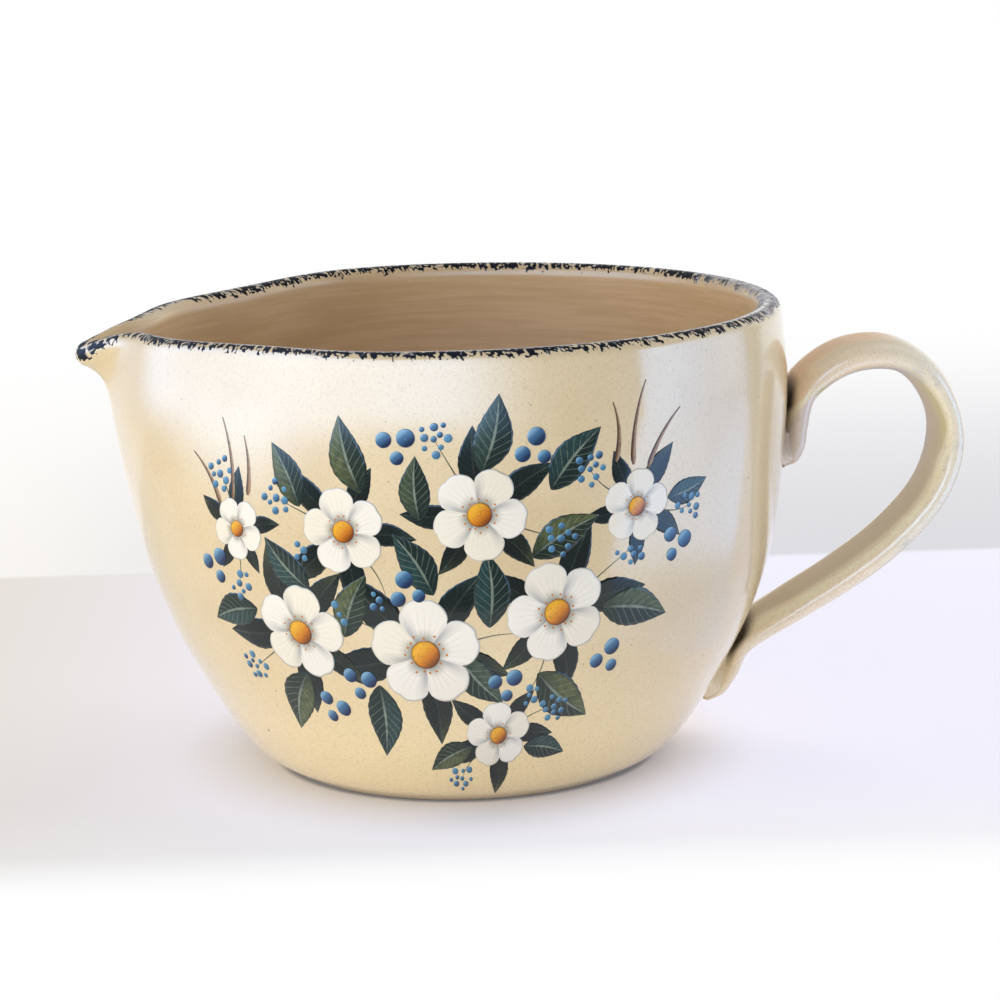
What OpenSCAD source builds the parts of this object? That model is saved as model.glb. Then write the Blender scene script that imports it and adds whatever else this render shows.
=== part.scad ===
// Batter bowl: a thrown stoneware bowl with a pulled pouring spout and a pulled strap handle.
// The origin is the centre of the foot on the table. The spout points along -X, the handle along +X.

/* [Bowl] */
// Height of the rim above the table
bowl_h = 122; // [118:0.5:140]
// Outer radius of the rim, away from the spout
rim_r = 86; // [80:0.5:94]
// Outer radius of the belly, the widest place
belly_r = 87.8; // [83:0.2:96]
// Radius of the flat foot that the bowl stands on
foot_r = 50; // [42:0.5:58]
// Thickness of the wall
wall_t = 6.8; // [5:0.1:8]
// Thickness of the floor in the middle
floor_t = 8; // [5:0.5:12]

/* [Spout] */
// How far the lip is pulled out at the spout
spout_pull = 11; // [6:0.5:14]
// Half angle that the spout takes of the rim, in degrees
spout_spread = 7; // [6:0.5:11]
// Depth of the short flare right under the lip
spout_flare = 3.2; // [2.4:0.2:6]
// Depth of the long throat that runs down the wall
throat_depth = 67.5; // [45:0.5:80]
// How far the rim is drawn in beside the spout
cheek_pinch = 5.6; // [0:0.2:7]
// How far the lip droops at the tip of the spout
tip_droop = 7.8; // [2:0.2:10]
// How far the rim sinks on the spout's side
side_droop = 2; // [0:0.2:4]

/* [Handle] */
// How far the strap's middle line reaches out from the wall
handle_reach = 45.4; // [38:0.2:56]
// How far the top of the arch lies below the rim, to the strap's middle line
arch_drop = 17.4; // [10:0.2:26]
// How far the lower end of the upper joint lies below the rim
upper_joint_drop = 46.4; // [42:0.2:52]
// Height of the lower end of the lower joint above the table
lower_joint_z = 12.6; // [9:0.2:18]
// Width of the strap across
strap_w = 26; // [20:0.5:30]
// Thickness of the strap on top of the arch
arch_t = 8.8; // [7:0.2:11]
// Thickness of the strap on its lower run
run_t = 7.8; // [6:0.2:9]
// Thickness of the slip that joins strap and wall
slip_t = 0.4; // [0.3:0.1:0.8]

/* [Rim colour] */
// Depth of the sponged band below the rim's crest, outside
band_out = 2.2; // [1:0.1:2.4]
// Depth of the sponged band below the rim's crest, inside
band_in = 2.1; // [1:0.1:2.4]
// Thickness of the colour coat
band_t = 0.25; // [0.2:0.05:0.5]

/* [Decal] */
// Angle of the decal's middle, seen from above, from the handle
decal_turn = -98; // [-120:1:-60]
// How far the decal's middle lies below the rim
decal_drop = 61; // [58:0.5:64]
// Width of the decal, round the wall
decal_w = 124; // [106:1:136]
// Radius of a large blossom
blossom_r = 15; // [11:0.5:17]
// Radius of a berry
berry_r = 2.4; // [1.6:0.1:2.8]
// Length of a leaf
leaf_l = 23; // [16:0.5:26]
// Thickness of one printed colour
print_t = 0.14; // [0.1:0.02:0.2]

/* [Hidden] */

// Colours of the fired pieces
cream = [0.86, 0.81, 0.70];
slip_cream = [0.80, 0.74, 0.62];
charcoal = [0.16, 0.18, 0.22];
petal_white = [0.96, 0.95, 0.92];
amber = [0.80, 0.47, 0.10];
leaf_green = [0.12, 0.25, 0.22];
berry_blue = [0.25, 0.44, 0.62];
stem_brown = [0.42, 0.30, 0.20];

// Smooth step and bump used for every soft transition
function ease(t) = let (c = min(max(t, 0), 1)) c * c * (3 - 2 * c);
function bump(t) = let (c = min(abs(t), 1)) 0.5 + 0.5 * cos(180 * c);

// Wall of the bowl as thrown: height shares of the bowl, radius shares from foot to belly
outline_shares = [
    [0, 0], [0.033, 0.16], [0.10, 0.345], [0.20, 0.535], [0.32, 0.73],
    [0.46, 0.88], [0.62, 0.955], [0.83, 1]
];
wall_pts = concat(
    [for (s = outline_shares) [s[0] * bowl_h, foot_r + s[1] * (belly_r - foot_r)]],
    [[bowl_h, rim_r]]
);
wall_last = len(wall_pts) - 1;
function secant(i) = (wall_pts[i + 1][1] - wall_pts[i][1]) / (wall_pts[i + 1][0] - wall_pts[i][0]);
function wall_slope(i) =
    i == 0 ? secant(0) : i == wall_last ? secant(i - 1) : (secant(i - 1) + secant(i)) / 2;
wall_slopes = [for (i = [0:wall_last]) wall_slope(i)];
function wall_span(z) = max([for (i = [0:wall_last - 1]) if (i == 0 || z >= wall_pts[i][0]) i]);
function thrown_r(z) =
    let (i = wall_span(z),
        a = wall_pts[i],
        b = wall_pts[i + 1],
        d = b[0] - a[0],
        t = (z - a[0]) / d)
    (1 + 2 * t) * (1 - t) * (1 - t) * a[1] + t * (1 - t) * (1 - t) * d * wall_slopes[i]
    + t * t * (3 - 2 * t) * b[1] - t * t * (1 - t) * d * wall_slopes[i + 1];

// The spout: a short flare at the lip over a long shallow throat, with the rim pinched beside it
lip_r = wall_t / 2;
flare_share = 0.63;
throat_widening = 4.8;
droop_spread_share = 0.93;
pinch_angle = 46;
pinch_spread_angle = 29;
pinch_depth_share = 0.41;
side_spread_angle = 85;
function from_spout(a) = let (b = a - 180, c = b - 360 * round(b / 360)) abs(c);
rim_lean = -wall_slopes[wall_last] / sqrt(1 + pow(wall_slopes[wall_last], 2));
function lip_z(t) =
    bowl_h - lip_r * (1 - rim_lean) - side_droop * (1 - ease(t / side_spread_angle))
    - tip_droop * exp(-pow(t / (spout_spread * droop_spread_share), 2));
function pull_at(t, h) =
    spout_pull * (flare_share * exp(-h / spout_flare) + (1 - flare_share) * (1 - ease(h / throat_depth)))
    * exp(-pow(t / (spout_spread * (1 + throat_widening * h / throat_depth)), 1.5))
    - cheek_pinch * bump((t - pinch_angle) / pinch_spread_angle)
    * (1 - ease(h / (bowl_h * pinch_depth_share)));
function wall_r(t, z) = thrown_r(z) + pull_at(t, max(lip_z(t) - z, 0));
function wall_lean(t, z) = let (e = wall_t / 100) (wall_r(t, z) - wall_r(t, z - e)) / e;

// One upright section of the wall, as [radius, height]: foot, outside, lip, inside, floor
outside_n = 18;
lip_n = 6;
inside_n = 13;
foot_inset_share = 0.6;
floor_blend_share = 0.33;
floor_dish_share = 0.12;
inner_foot_r = foot_r - wall_t * foot_inset_share;
inside_low = floor_t + wall_t * floor_blend_share;
function side_normal(t, z) = let (k = wall_lean(t, z), n = sqrt(1 + k * k)) [1 / n, -k / n];
bunch_share = 0.11;
function spread(u) = u - bunch_share * sin(360 * u);
function outside_pt(t, u) = let (z = lip_z(t) * spread(u)) [wall_r(t, z), z];
function lip_pt(t, a) =
    let (z = lip_z(t), n = side_normal(t, z), c = [wall_r(t, z), z] - lip_r * n)
    c + lip_r * (cos(a) * n + sin(a) * [-n[1], n[0]]);
function inside_pt(t, u) =
    let (z = lip_z(t) - (lip_z(t) - inside_low) * pow(u, 1.4))
    [wall_r(t, z), z] - wall_t * side_normal(t, z);
function bowl_section(t) = concat(
    [for (i = [0:outside_n - 1]) outside_pt(t, i / outside_n)],
    [for (i = [0:lip_n]) lip_pt(t, 180 * i / lip_n)],
    [for (i = [1:inside_n]) inside_pt(t, i / inside_n)],
    [[inner_foot_r, floor_t + wall_t * floor_dish_share], [inner_foot_r / 2, floor_t]]
);

// The columns of the bowl stand closer together at the spout
half_columns = 34;
foot_start = 9;
function column_angle(i) = 180 - sign(i) * 180 * pow(abs(i) / half_columns, 1.6);
columns = [for (i = [-half_columns:half_columns - 1]) column_angle(i)];
function upright(p, a) = [p[0] * cos(a), p[0] * sin(a), p[1]];

// Side faces between rings of points
function ring_faces(rings, n) = [
    for (i = [0:rings - 2], j = [0:n - 1])
    let (k = (j + 1) % n, a = i * n + j, b = i * n + k, c = (i + 1) * n + k, d = (i + 1) * n + j)
    for (f = [[a, c, d], [a, b, c]]) f
];
module bowl_body() {
    n = len(columns);
    sections = [for (a = columns) bowl_section(from_spout(a))];
    rings = len(sections[0]);
    pts = [for (r = [0:rings - 1], j = [0:n - 1]) upright(sections[j][r], columns[j])];
    last = (rings - 1) * n;
    faces = concat(
        [[for (j = [n - 1:-1:0]) (j + foot_start) % n]],
        ring_faces(rings, n),
        [[for (j = [0:n - 1]) last + j]]
    );
    color(cream) polyhedron(points = pts, faces = faces, convexity = 6);
}

// The colour coat hugs the lip: from a ragged edge outside, over the lip, to a ragged edge inside
gap_share = 0.0075;
coat_gap = wall_t * gap_share;
band_n = 8;
ragged_share = 0.16;
ragged_step_share = 0.382;
function band_edge(depth) = asin(1 - min(depth / lip_r, 1));
function band_angle(i, ragged) =
    let (a = band_edge(band_out * ragged), b = 180 - band_edge(band_in * ragged))
    a + (b - a) * i / band_n;
function band_pt(t, i, lift, ragged) =
    let (z = lip_z(t), n = side_normal(t, z), a = band_angle(i, ragged), c = [wall_r(t, z), z] - lip_r * n)
    c + (lip_r + lift) * (cos(a) * n + sin(a) * [-n[1], n[0]]);
module rim_band() {
    n = len(columns);
    m = 2 * (band_n + 1);
    ragged = [for (j = [0:n - 1]) 1 + ragged_share * sin(360 * j * ragged_step_share)];
    rings = [for (j = [0:n - 1]) let (t = from_spout(columns[j])) concat(
        [for (i = [0:band_n]) upright(band_pt(t, i, coat_gap, ragged[j]), columns[j])],
        [for (i = [band_n:-1:0]) upright(band_pt(t, i, coat_gap + band_t, ragged[j]), columns[j])]
    )];
    faces = [
        for (j = [0:n - 1], i = [0:m - 1])
        let (k = (j + 1) % n, h = (i + 1) % m, a = j * m + i, b = j * m + h, c = k * m + h, d = k * m + i)
        for (f = [[a, b, c], [a, c, d]]) f
    ];
    color(charcoal) polyhedron(points = [for (r = rings) each r], faces = faces, convexity = 8);
}

// The strap's stations, from the upper joint over the arch to the lower joint, as
// [radius, height, width, thickness] of its middle line. The free stations take shares of the reach,
// the loop's height and the thickness; the pressed ones shares of the thickness, up from the joint's
// end, then of thickness and width.
arch_z = bowl_h - arch_drop;
upper_joint_z = bowl_h - upper_joint_drop;
loop_h = arch_z - lower_joint_z;
tab_share = 0.68;
tab_t = arch_t * tab_share;
upper_shares = [[0, 0.26, 0.62], [0.35, 0.72, 0.92], [1, 1, 1], [1.8, 1.05, 1]];
arch_shares = [
    [0.103, 0.886, 0.80], [0.205, 0.942, 0.88], [0.361, 0.985, 0.96], [0.545, 1, 1],
    [0.725, 0.981, 0.96], [0.886, 0.910, 0.90], [0.985, 0.800, 0.84]
];
run_shares = [
    [0.980, 0.683, 1], [0.870, 0.561, 1], [0.636, 0.439, 1], [0.350, 0.338, 0.98], [0.059, 0.254, 0.92]
];
lower_shares = [[1.9, 0.8, 1.02], [1, 0.74, 1.02], [0.35, 0.64, 0.98], [0, 0.36, 0.8]];
function wall_slant(z) = let (e = wall_t / 100, k = (thrown_r(z) - thrown_r(z - e)) / e) sqrt(1 + k * k);
function pressed(z, t, w) = [thrown_r(z) + (slip_t + t / 2) * wall_slant(z), z, w, t];
function free(f, t) =
    [thrown_r(arch_z) + f[0] * handle_reach, lower_joint_z + f[1] * loop_h, strap_w, f[2] * t];
stations = concat(
    [for (f = upper_shares) pressed(upper_joint_z + f[0] * tab_t, f[1] * tab_t, f[2] * strap_w)],
    [for (f = arch_shares) free(f, arch_t)],
    [for (f = run_shares) free(f, run_t)],
    [for (f = lower_shares) pressed(lower_joint_z + f[0] * run_t, f[1] * run_t, f[2] * strap_w)]
);
station_last = len(stations) - 1;
function station(i) = stations[min(max(i, 0), station_last)];
function strap_at(s) =
    let (i = min(floor(s), station_last - 1), t = s - i,
        p0 = i == 0 ? 2 * station(0) - station(1) : station(i - 1),
        p1 = station(i), p2 = station(i + 1),
        p3 = i == station_last - 1 ? 2 * station(station_last) - station(i) : station(i + 2))
    0.5 * (2 * p1 + (p2 - p0) * t + (2 * p0 - 5 * p1 + 4 * p2 - p3) * t * t
        + (3 * p1 - p0 - 3 * p2 + p3) * t * t * t);
function strap_dir(s) =
    let (e = 0.01, a = strap_at(max(s - e, 0)), b = strap_at(min(s + e, station_last)),
        d = [b[0] - a[0], b[1] - a[1]]) d / norm(d);

// Rounded cross-section of the strap: across, then through its thickness
strap_sides = 16;
square_share = 2.4;
function rounded(c) = sign(c) * pow(abs(c), 2 / square_share);
function strap_ring(s) =
    let (p = strap_at(s), d = strap_dir(s), n = [d[1], -d[0]])
    [for (j = [0:strap_sides - 1])
        let (a = 360 * (j + 0.5) / strap_sides,
            across = p[2] / 2 * rounded(cos(a)),
            through = p[3] / 2 * rounded(sin(a)))
        [p[0] + through * n[0], across, p[1] + through * n[1]]];
ring_steps = 3;
module handle() {
    rings = station_last * ring_steps;
    pts = [for (i = [0:rings]) each strap_ring(i / ring_steps)];
    last = rings * strap_sides;
    faces = concat(
        [[for (j = [strap_sides - 1:-1:0]) j]],
        ring_faces(rings + 1, strap_sides),
        [[for (j = [0:strap_sides - 1]) last + j]]
    );
    color(cream) polyhedron(points = pts, faces = faces, convexity = 6);
}

// The slip fills the wedge between the strap's face and the round wall behind it
slip_gap = wall_t * gap_share;
slip_fill_share = 0.84;
slip_start_share = 0.2;
slip_reach_share = 0.9;
slip_tries_n = 6;
slip_rows_n = 8;
slip_cols_n = 8;
function strap_face(s, v, side) =
    let (p = strap_at(s), d = strap_dir(s), n = side * [d[1], -d[0]],
        y = p[2] / 2 * v, deep = p[3] / 2 * pow(1 - pow(abs(v), square_share), 1 / square_share))
    [p[0] + deep * n[0], y, p[1] + deep * n[1]];
function face_out(s, side) = let (d = strap_dir(s)) side * [d[1], -d[0]];
function to_wall(p, n, left) =
    left == 0 ? p
    : let (gap = norm([p[0], p[1]]) - thrown_r(p[2]))
        to_wall(p + gap * slip_reach_share * [n[0], 0, n[1]], n, left - 1);
module slip_joint(s0, s1, side) {
    cols = slip_cols_n + 1;
    strap_side = [for (i = [0:slip_rows_n], j = [0:slip_cols_n])
        let (s = s0 + (s1 - s0) * i / slip_rows_n,
            v = slip_fill_share * (2 * j / slip_cols_n - 1),
            n = face_out(s, side))
        strap_face(s, v, side) + slip_gap * [n[0], 0, n[1]]];
    wall_side = [for (i = [0:slip_rows_n], j = [0:slip_cols_n])
        let (s = s0 + (s1 - s0) * i / slip_rows_n, n = face_out(s, side), k = i * cols + j,
            w = to_wall(strap_side[k], n, slip_tries_n))
        w - slip_gap * 2 * [n[0], 0, n[1]]];
    m = len(strap_side);
    quads = [for (i = [0:slip_rows_n - 1], j = [0:slip_cols_n - 1])
        let (a = i * cols + j) [a, a + 1, a + cols + 1, a + cols]];
    border = concat(
        [for (j = [0:slip_cols_n - 1]) j],
        [for (i = [0:slip_rows_n - 1]) i * cols + slip_cols_n],
        [for (j = [slip_cols_n:-1:1]) slip_rows_n * cols + j],
        [for (i = [slip_rows_n:-1:1]) i * cols]
    );
    b = len(border);
    faces = concat(
        [for (q = quads) each [[q[2], q[1], q[0]], [q[3], q[2], q[0]]]],
        [for (q = quads) each [[m + q[0], m + q[1], m + q[2]], [m + q[0], m + q[2], m + q[3]]]],
        [for (i = [0:b - 1])
            let (a = border[i], c = border[(i + 1) % b])
            each [[m + c, m + a, a], [c, m + c, a]]]
    );
    color(slip_cream) polyhedron(points = concat(strap_side, wall_side), faces = faces, convexity = 4);
}
module upper_slip_joint() {
    spans = len(upper_shares) - 1;
    slip_joint(slip_start_share * spans, spans, -1);
}
module lower_slip_joint() {
    spans = len(lower_shares) - 1;
    slip_joint(station_last - slip_start_share * spans, station_last - spans, 1);
}

// The decal lies on the wall: u runs round the bowl, v runs up it, both in shares of the decal's width
lift_share = 0.024;
decal_gap = wall_t * lift_share;
decal_z = bowl_h - decal_drop;
function on_wall(p, lift) =
    let (z = decal_z + p[1] * decal_w,
        a = decal_turn + p[0] * decal_w / belly_r * 180 / PI,
        t = from_spout(a))
    upright([wall_r(t, z), z] + lift * side_normal(t, z), a);
function layer(i) = decal_gap + i * (print_t + coat_gap);
leaf_layer = 0;
blossom_layer = 1;
top_layer = 2;
function spin(p, a) = [p[0] * cos(a) - p[1] * sin(a), p[0] * sin(a) + p[1] * cos(a)];

// A printed patch: a closed outline round a middle point, in a number of rings
module patch(outline, middle, rings, lift) {
    n = len(outline);
    flat = concat([for (r = [rings:-1:1], p = outline) middle + (p - middle) * r / rings], [middle]);
    m = len(flat);
    pts = concat([for (p = flat) on_wall(p, lift + print_t)], [for (p = flat) on_wall(p, lift)]);
    top = [for (r = [0:rings - 1], i = [0:n - 1])
        let (k = (i + 1) % n, a = r * n + i, b = r * n + k, last = r == rings - 1)
        each last ? [[a, m - 1, b]] : [[a, b + n, b], [a, a + n, b + n]]];
    faces = concat(
        top,
        [for (f = top) [m + f[2], m + f[1], m + f[0]]],
        [for (i = [0:n - 1]) let (k = (i + 1) % n) each [[i, k, m + k], [i, m + k, m + i]]]
    );
    polyhedron(points = pts, faces = faces, convexity = 4);
}

// Blossoms with five round petals: [u, v, size share, turn]
blossoms = [
    [-0.045, -0.115, 1, 18], [0.235, -0.035, 0.9, 40], [-0.325, -0.08, 0.86, 5],
    [0.075, 0.175, 0.8, 62], [-0.2, 0.14, 0.74, 30], [0.405, 0.165, 0.64, 10],
    [0.12, -0.31, 0.68, 25], [-0.455, 0.125, 0.54, 50]
];
petals_n = 5;
petal_pts_n = 6;
blossom_rings_n = 3;
centre_share = 0.26;
centre_pts_n = 12;
function petal_r(a) = 0.68 + 0.32 * pow(abs(cos(a * petals_n / 2)), 0.6);
function place(f) = [f[0], f[1]];
module decal_blossoms() {
    n = petals_n * petal_pts_n;
    for (f = blossoms) {
        r = f[2] * blossom_r / decal_w;
        outline = [for (i = [0:n - 1])
            let (a = 360 * i / n) place(f) + spin([r * petal_r(a), 0], a + f[3])];
        color(petal_white) patch(outline, place(f), blossom_rings_n, layer(blossom_layer));
    }
}
module decal_centres() {
    for (f = blossoms) {
        r = centre_share * f[2] * blossom_r / decal_w;
        outline = [for (i = [0:centre_pts_n - 1]) place(f) + spin([r, 0], 360 * i / centre_pts_n)];
        color(amber) patch(outline, place(f), 1, layer(top_layer));
    }
}

// Pointed leaves under and round the blossoms: [u, v, size share, direction]
leaves = [
    [0.09, 0.02, 0.86, 92], [-0.19, -0.015, 0.8, 66], [-0.06, 0.075, 0.8, 122],
    [0.25, 0.12, 0.86, 28], [0.075, -0.175, 0.84, -48], [-0.335, 0.065, 0.76, 134],
    [-0.38, -0.245, 0.92, 238], [-0.17, -0.275, 0.95, 262], [0.275, -0.225, 1, -38],
    [0.42, -0.055, 0.95, -12], [-0.5, -0.06, 0.8, 196], [-0.18, 0.295, 0.85, 106],
    [0.1, 0.335, 0.85, 76], [0.27, 0.275, 0.85, 48], [-0.33, 0.245, 0.76, 120],
    [0.25, -0.355, 0.66, -12], [-0.005, -0.365, 0.7, 208], [-0.045, 0.23, 0.7, 92],
    [0.535, 0.185, 0.6, 14]
];
leaf_pts_n = 7;
leaf_rings_n = 2;
leaf_slim_share = 0.23;
function leaf_half(s) = leaf_slim_share * sin(180 * pow(s, 0.8));
module decal_leaves() {
    for (f = leaves) {
        l = f[2] * leaf_l / decal_w;
        side = [for (i = [0:leaf_pts_n]) let (s = i / leaf_pts_n) l * [s - 0.5, leaf_half(s)]];
        outline = concat(
            [for (i = [0:leaf_pts_n]) [side[i][0], -side[i][1]]],
            [for (i = [leaf_pts_n - 1:-1:1]) side[i]]
        );
        turned = [for (p = outline) place(f) + spin(p, f[3])];
        color(leaf_green) patch(turned, place(f), leaf_rings_n, layer(leaf_layer));
    }
}

// Sprigs of three berries: [u, v, turn], and each berry's share of the berry's radius
sprigs = [
    [-0.205, -0.185, 20], [0.365, -0.15, 70], [-0.075, 0.02, 100], [0.51, 0.075, 10],
    [-0.53, 0.04, 50], [-0.085, 0.315, 35], [0.185, 0.3, 80], [-0.29, -0.25, 0], [0.13, -0.19, 40]
];
berry_shares = [0.95, 0.82, 0.7];
sprig_share = 1.3;
berry_pts_n = 8;
module decal_berries() {
    for (f = sprigs, k = [0:len(berry_shares) - 1]) {
        unit = berry_r / decal_w;
        middle = place(f) + spin([sprig_share * unit, 0], f[2] + 360 * k / len(berry_shares));
        outline = [for (i = [0:berry_pts_n - 1])
            middle + spin([berry_shares[k] * unit, 0], 360 * i / berry_pts_n)];
        color(berry_blue) patch(outline, middle, 1, layer(top_layer));
    }
}

// Stems: thin curved strokes, [u, v of the root, length share, direction]
stems = [
    [0.395, 0.25, 0.17, 78], [0.43, 0.24, 0.14, 54], [-0.465, 0.18, 0.17, 104],
    [-0.5, 0.17, 0.13, 130], [0.355, 0.26, 0.12, 92], [-0.425, 0.195, 0.12, 98]
];
stem_share = 0.012;
taper_share = 0.8;
bend_angle = 34;
stem_n = 5;
function stroke(f, s) =
    let (bend = f[3] > 90 ? bend_angle : -bend_angle)
    place(f) + spin([f[2] * s, 0], f[3] + bend * (s - 0.5));
function stem_half(s) = [stem_share / 2 * (1 - taper_share * s), 0];
module decal_stems() {
    for (f = stems) {
        left = [for (i = [0:stem_n]) let (s = i / stem_n) stroke(f, s) - stem_half(s)];
        right = [for (i = [stem_n:-1:0]) let (s = i / stem_n) stroke(f, s) + stem_half(s)];
        color(stem_brown) strip(left, right, layer(leaf_layer));
    }
}
module strip(left, right, lift) {
    n = len(left);
    flat = concat(left, right);
    m = 2 * n;
    pts = concat([for (p = flat) on_wall(p, lift + print_t)], [for (p = flat) on_wall(p, lift)]);
    top = [for (i = [0:n - 2]) let (c = m - 1 - i) each [[i, i + 1, c], [i + 1, c - 1, c]]];
    faces = concat(
        top,
        [for (f = top) [m + f[2], m + f[1], m + f[0]]],
        [for (i = [0:m - 1]) let (k = (i + 1) % m) each [[k, i, m + i], [k, m + i, m + k]]]
    );
    polyhedron(points = pts, faces = faces, convexity = 4);
}

bowl_body();
handle();
upper_slip_joint();
lower_slip_joint();
rim_band();
decal_stems();
decal_leaves();
decal_berries();
decal_blossoms();
decal_centres();
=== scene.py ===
import math

import bmesh
import bpy
import numpy as np
from mathutils import Matrix, Vector


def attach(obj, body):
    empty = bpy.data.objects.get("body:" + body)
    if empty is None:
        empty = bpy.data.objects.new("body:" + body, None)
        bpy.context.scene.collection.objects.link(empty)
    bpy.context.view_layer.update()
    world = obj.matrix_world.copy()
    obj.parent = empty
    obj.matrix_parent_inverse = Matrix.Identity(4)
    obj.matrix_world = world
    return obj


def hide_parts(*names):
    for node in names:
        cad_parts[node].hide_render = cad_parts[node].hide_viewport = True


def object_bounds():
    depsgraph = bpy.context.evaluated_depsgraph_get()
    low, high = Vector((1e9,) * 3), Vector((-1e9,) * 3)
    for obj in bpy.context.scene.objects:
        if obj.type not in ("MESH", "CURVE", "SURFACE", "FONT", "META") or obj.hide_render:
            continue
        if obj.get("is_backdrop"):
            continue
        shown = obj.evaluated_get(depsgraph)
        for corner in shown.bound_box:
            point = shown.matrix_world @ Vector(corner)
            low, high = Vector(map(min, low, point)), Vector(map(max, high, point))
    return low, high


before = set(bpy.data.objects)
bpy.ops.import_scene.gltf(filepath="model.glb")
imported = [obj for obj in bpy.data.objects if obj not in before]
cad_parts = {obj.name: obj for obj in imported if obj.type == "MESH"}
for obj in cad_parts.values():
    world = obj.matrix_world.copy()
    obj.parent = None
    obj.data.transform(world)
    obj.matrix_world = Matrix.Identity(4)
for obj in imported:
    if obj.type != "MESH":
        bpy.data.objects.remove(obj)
cad_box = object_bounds()


# Bowl body
# One piece of stoneware clay, thrown on the wheel: foot, floor, wall, rolled lip, and the pouring spout
# that is pulled from the soft rim with a finger. It is dipped in a glossy cream glaze, and the flat
# foot is wiped dry, so that bare clay stands on the table. Angles are in degrees.
mm = 0.001
bowl_h = 122 * mm
rim_r = 86 * mm
belly_r = 87.8 * mm
foot_r = 50 * mm
wall_t = 6.8 * mm
floor_t = 8 * mm
lip_r = wall_t / 2
spout_pull = 11 * mm
spout_spread = 7
spout_flare = 3.2 * mm
flare_share = 0.63
throat_depth = 67.5 * mm
throat_spread = 4.8
cheek_turn = 46
cheek_spread = 29
cheek_pinch = 5.6 * mm
cheek_depth = 0.41 * bowl_h
tip_droop = 7.8 * mm
tip_spread = 0.93 * spout_spread
side_droop = 2 * mm
side_spread = 85
ripple_lengths = (3.6 * mm, 8 * mm, 13 * mm)
calm_foot = 12 * mm
calm_lip = 14 * mm
outline_shares = np.array([
    (0, 0), (0.033, 0.16), (0.10, 0.345), (0.20, 0.535), (0.32, 0.73), (0.46, 0.88), (0.62, 0.955), (0.83, 1),
])
wall_zs = np.append(outline_shares[:, 0] * bowl_h, bowl_h)
wall_rs = np.append(foot_r + outline_shares[:, 1] * (belly_r - foot_r), rim_r)
secants = np.diff(wall_rs) / np.diff(wall_zs)
wall_slopes = np.concatenate([secants[:1], (secants[:-1] + secants[1:]) / 2, secants[-1:]])
rim_lean = -wall_slopes[-1] / math.hypot(1, wall_slopes[-1])


def ease(t):
    """Smooth step from 0 to 1."""
    c = np.clip(t, 0, 1)
    return c * c * (3 - 2 * c)


def from_spout(turn):
    """Angle from the middle of the spout, in degrees."""
    b = turn - 180
    return np.abs(b - 360 * np.round(b / 360))


def thrown_r(z):
    """Outer radius of the bowl as it was thrown, at the height z."""
    i = np.clip(np.searchsorted(wall_zs, z, side="right") - 1, 0, len(wall_zs) - 2)
    d = wall_zs[i + 1] - wall_zs[i]
    t = (z - wall_zs[i]) / d
    return (
        (1 + 2 * t) * (1 - t) ** 2 * wall_rs[i] + t * (1 - t) ** 2 * d * wall_slopes[i]
        + t * t * (3 - 2 * t) * wall_rs[i + 1] - t * t * (1 - t) * d * wall_slopes[i + 1]
    )


def lip_z(t):
    """Height at which the lip starts to roll over, at the angle t from the spout."""
    side = side_droop * (1 - ease(t / side_spread))
    tip = tip_droop * np.exp(-((t / tip_spread) ** 2))
    return bowl_h - lip_r * (1 - rim_lean) - side - tip


def wall_r(t, z):
    """Outer radius of the wall with the spout pulled and the rim pinched in beside it."""
    h = np.maximum(lip_z(t) - z, 0)
    flare = flare_share * np.exp(-h / spout_flare) + (1 - flare_share) * (1 - ease(h / throat_depth))
    width = spout_spread * (1 + throat_spread * h / throat_depth)
    cheek = 0.5 + 0.5 * np.cos(np.pi * np.minimum(np.abs((t - cheek_turn) / cheek_spread), 1))
    pinch = cheek_pinch * cheek * (1 - ease(h / cheek_depth))
    return thrown_r(z) + spout_pull * flare * np.exp(-((t / width) ** 1.5)) - pinch


def wall_normal(t, z):
    """The wall's outward normal, as its parts along the radius and along the height."""
    e = wall_t / 100
    k = (wall_r(t, z) - wall_r(t, z - e)) / e
    n = np.sqrt(1 + k * k)
    return 1 / n, -k / n


def ripple(turn, z, depth):
    """Slow waves left by the potter's fingers, always inwards, and none at the foot and the lip."""
    a = np.radians(turn)
    short, middle, long = (z / length for length in ripple_lengths)
    waves = np.sin(short + 2 * np.sin(a)) + np.sin(3 * a + middle) + np.sin(5 * a - long)
    fade = ease(z / calm_foot) * ease((bowl_h - z) / calm_lip)
    return depth * fade * (waves / 3 - 1) / 2


def upright(r, z, turn):
    """Points in space from radius, height and the angle round the bowl."""
    a = np.radians(turn)
    return np.stack([r * np.cos(a), r * np.sin(a), z + 0 * a], axis=-1)


def wall_point(turn, z, lift):
    """A point on the outside of the wall, lifted off it by lift."""
    t = from_spout(turn)
    nr, nz = wall_normal(t, z)
    off = lift + ripple(turn, z, outside_ripple)
    return upright(wall_r(t, z) + off * nr, z + off * nz, turn)


def lip_point(turn, roll, lift):
    """A point on the rolled lip: roll goes from 0, outside, over the crest at 90 to 180, inside."""
    t = from_spout(turn)
    z = lip_z(t)
    nr, nz = wall_normal(t, z)
    a = np.radians(roll)
    reach = lip_r + lift
    r = wall_r(t, z) - lip_r * nr + reach * (np.cos(a) * nr - np.sin(a) * nz)
    return upright(r, z - lip_r * nz + reach * (np.cos(a) * nz + np.sin(a) * nr), turn)


def grid(rows, cols, wrap=True):
    """Four-sided faces between rows of points. wrap closes each row to a ring."""
    quads = []
    for i in range(rows - 1):
        for j in range(cols if wrap else cols - 1):
            k = (j + 1) % cols
            quads.append((i * cols + j, i * cols + k, (i + 1) * cols + k, (i + 1) * cols + j))
    return quads


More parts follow.
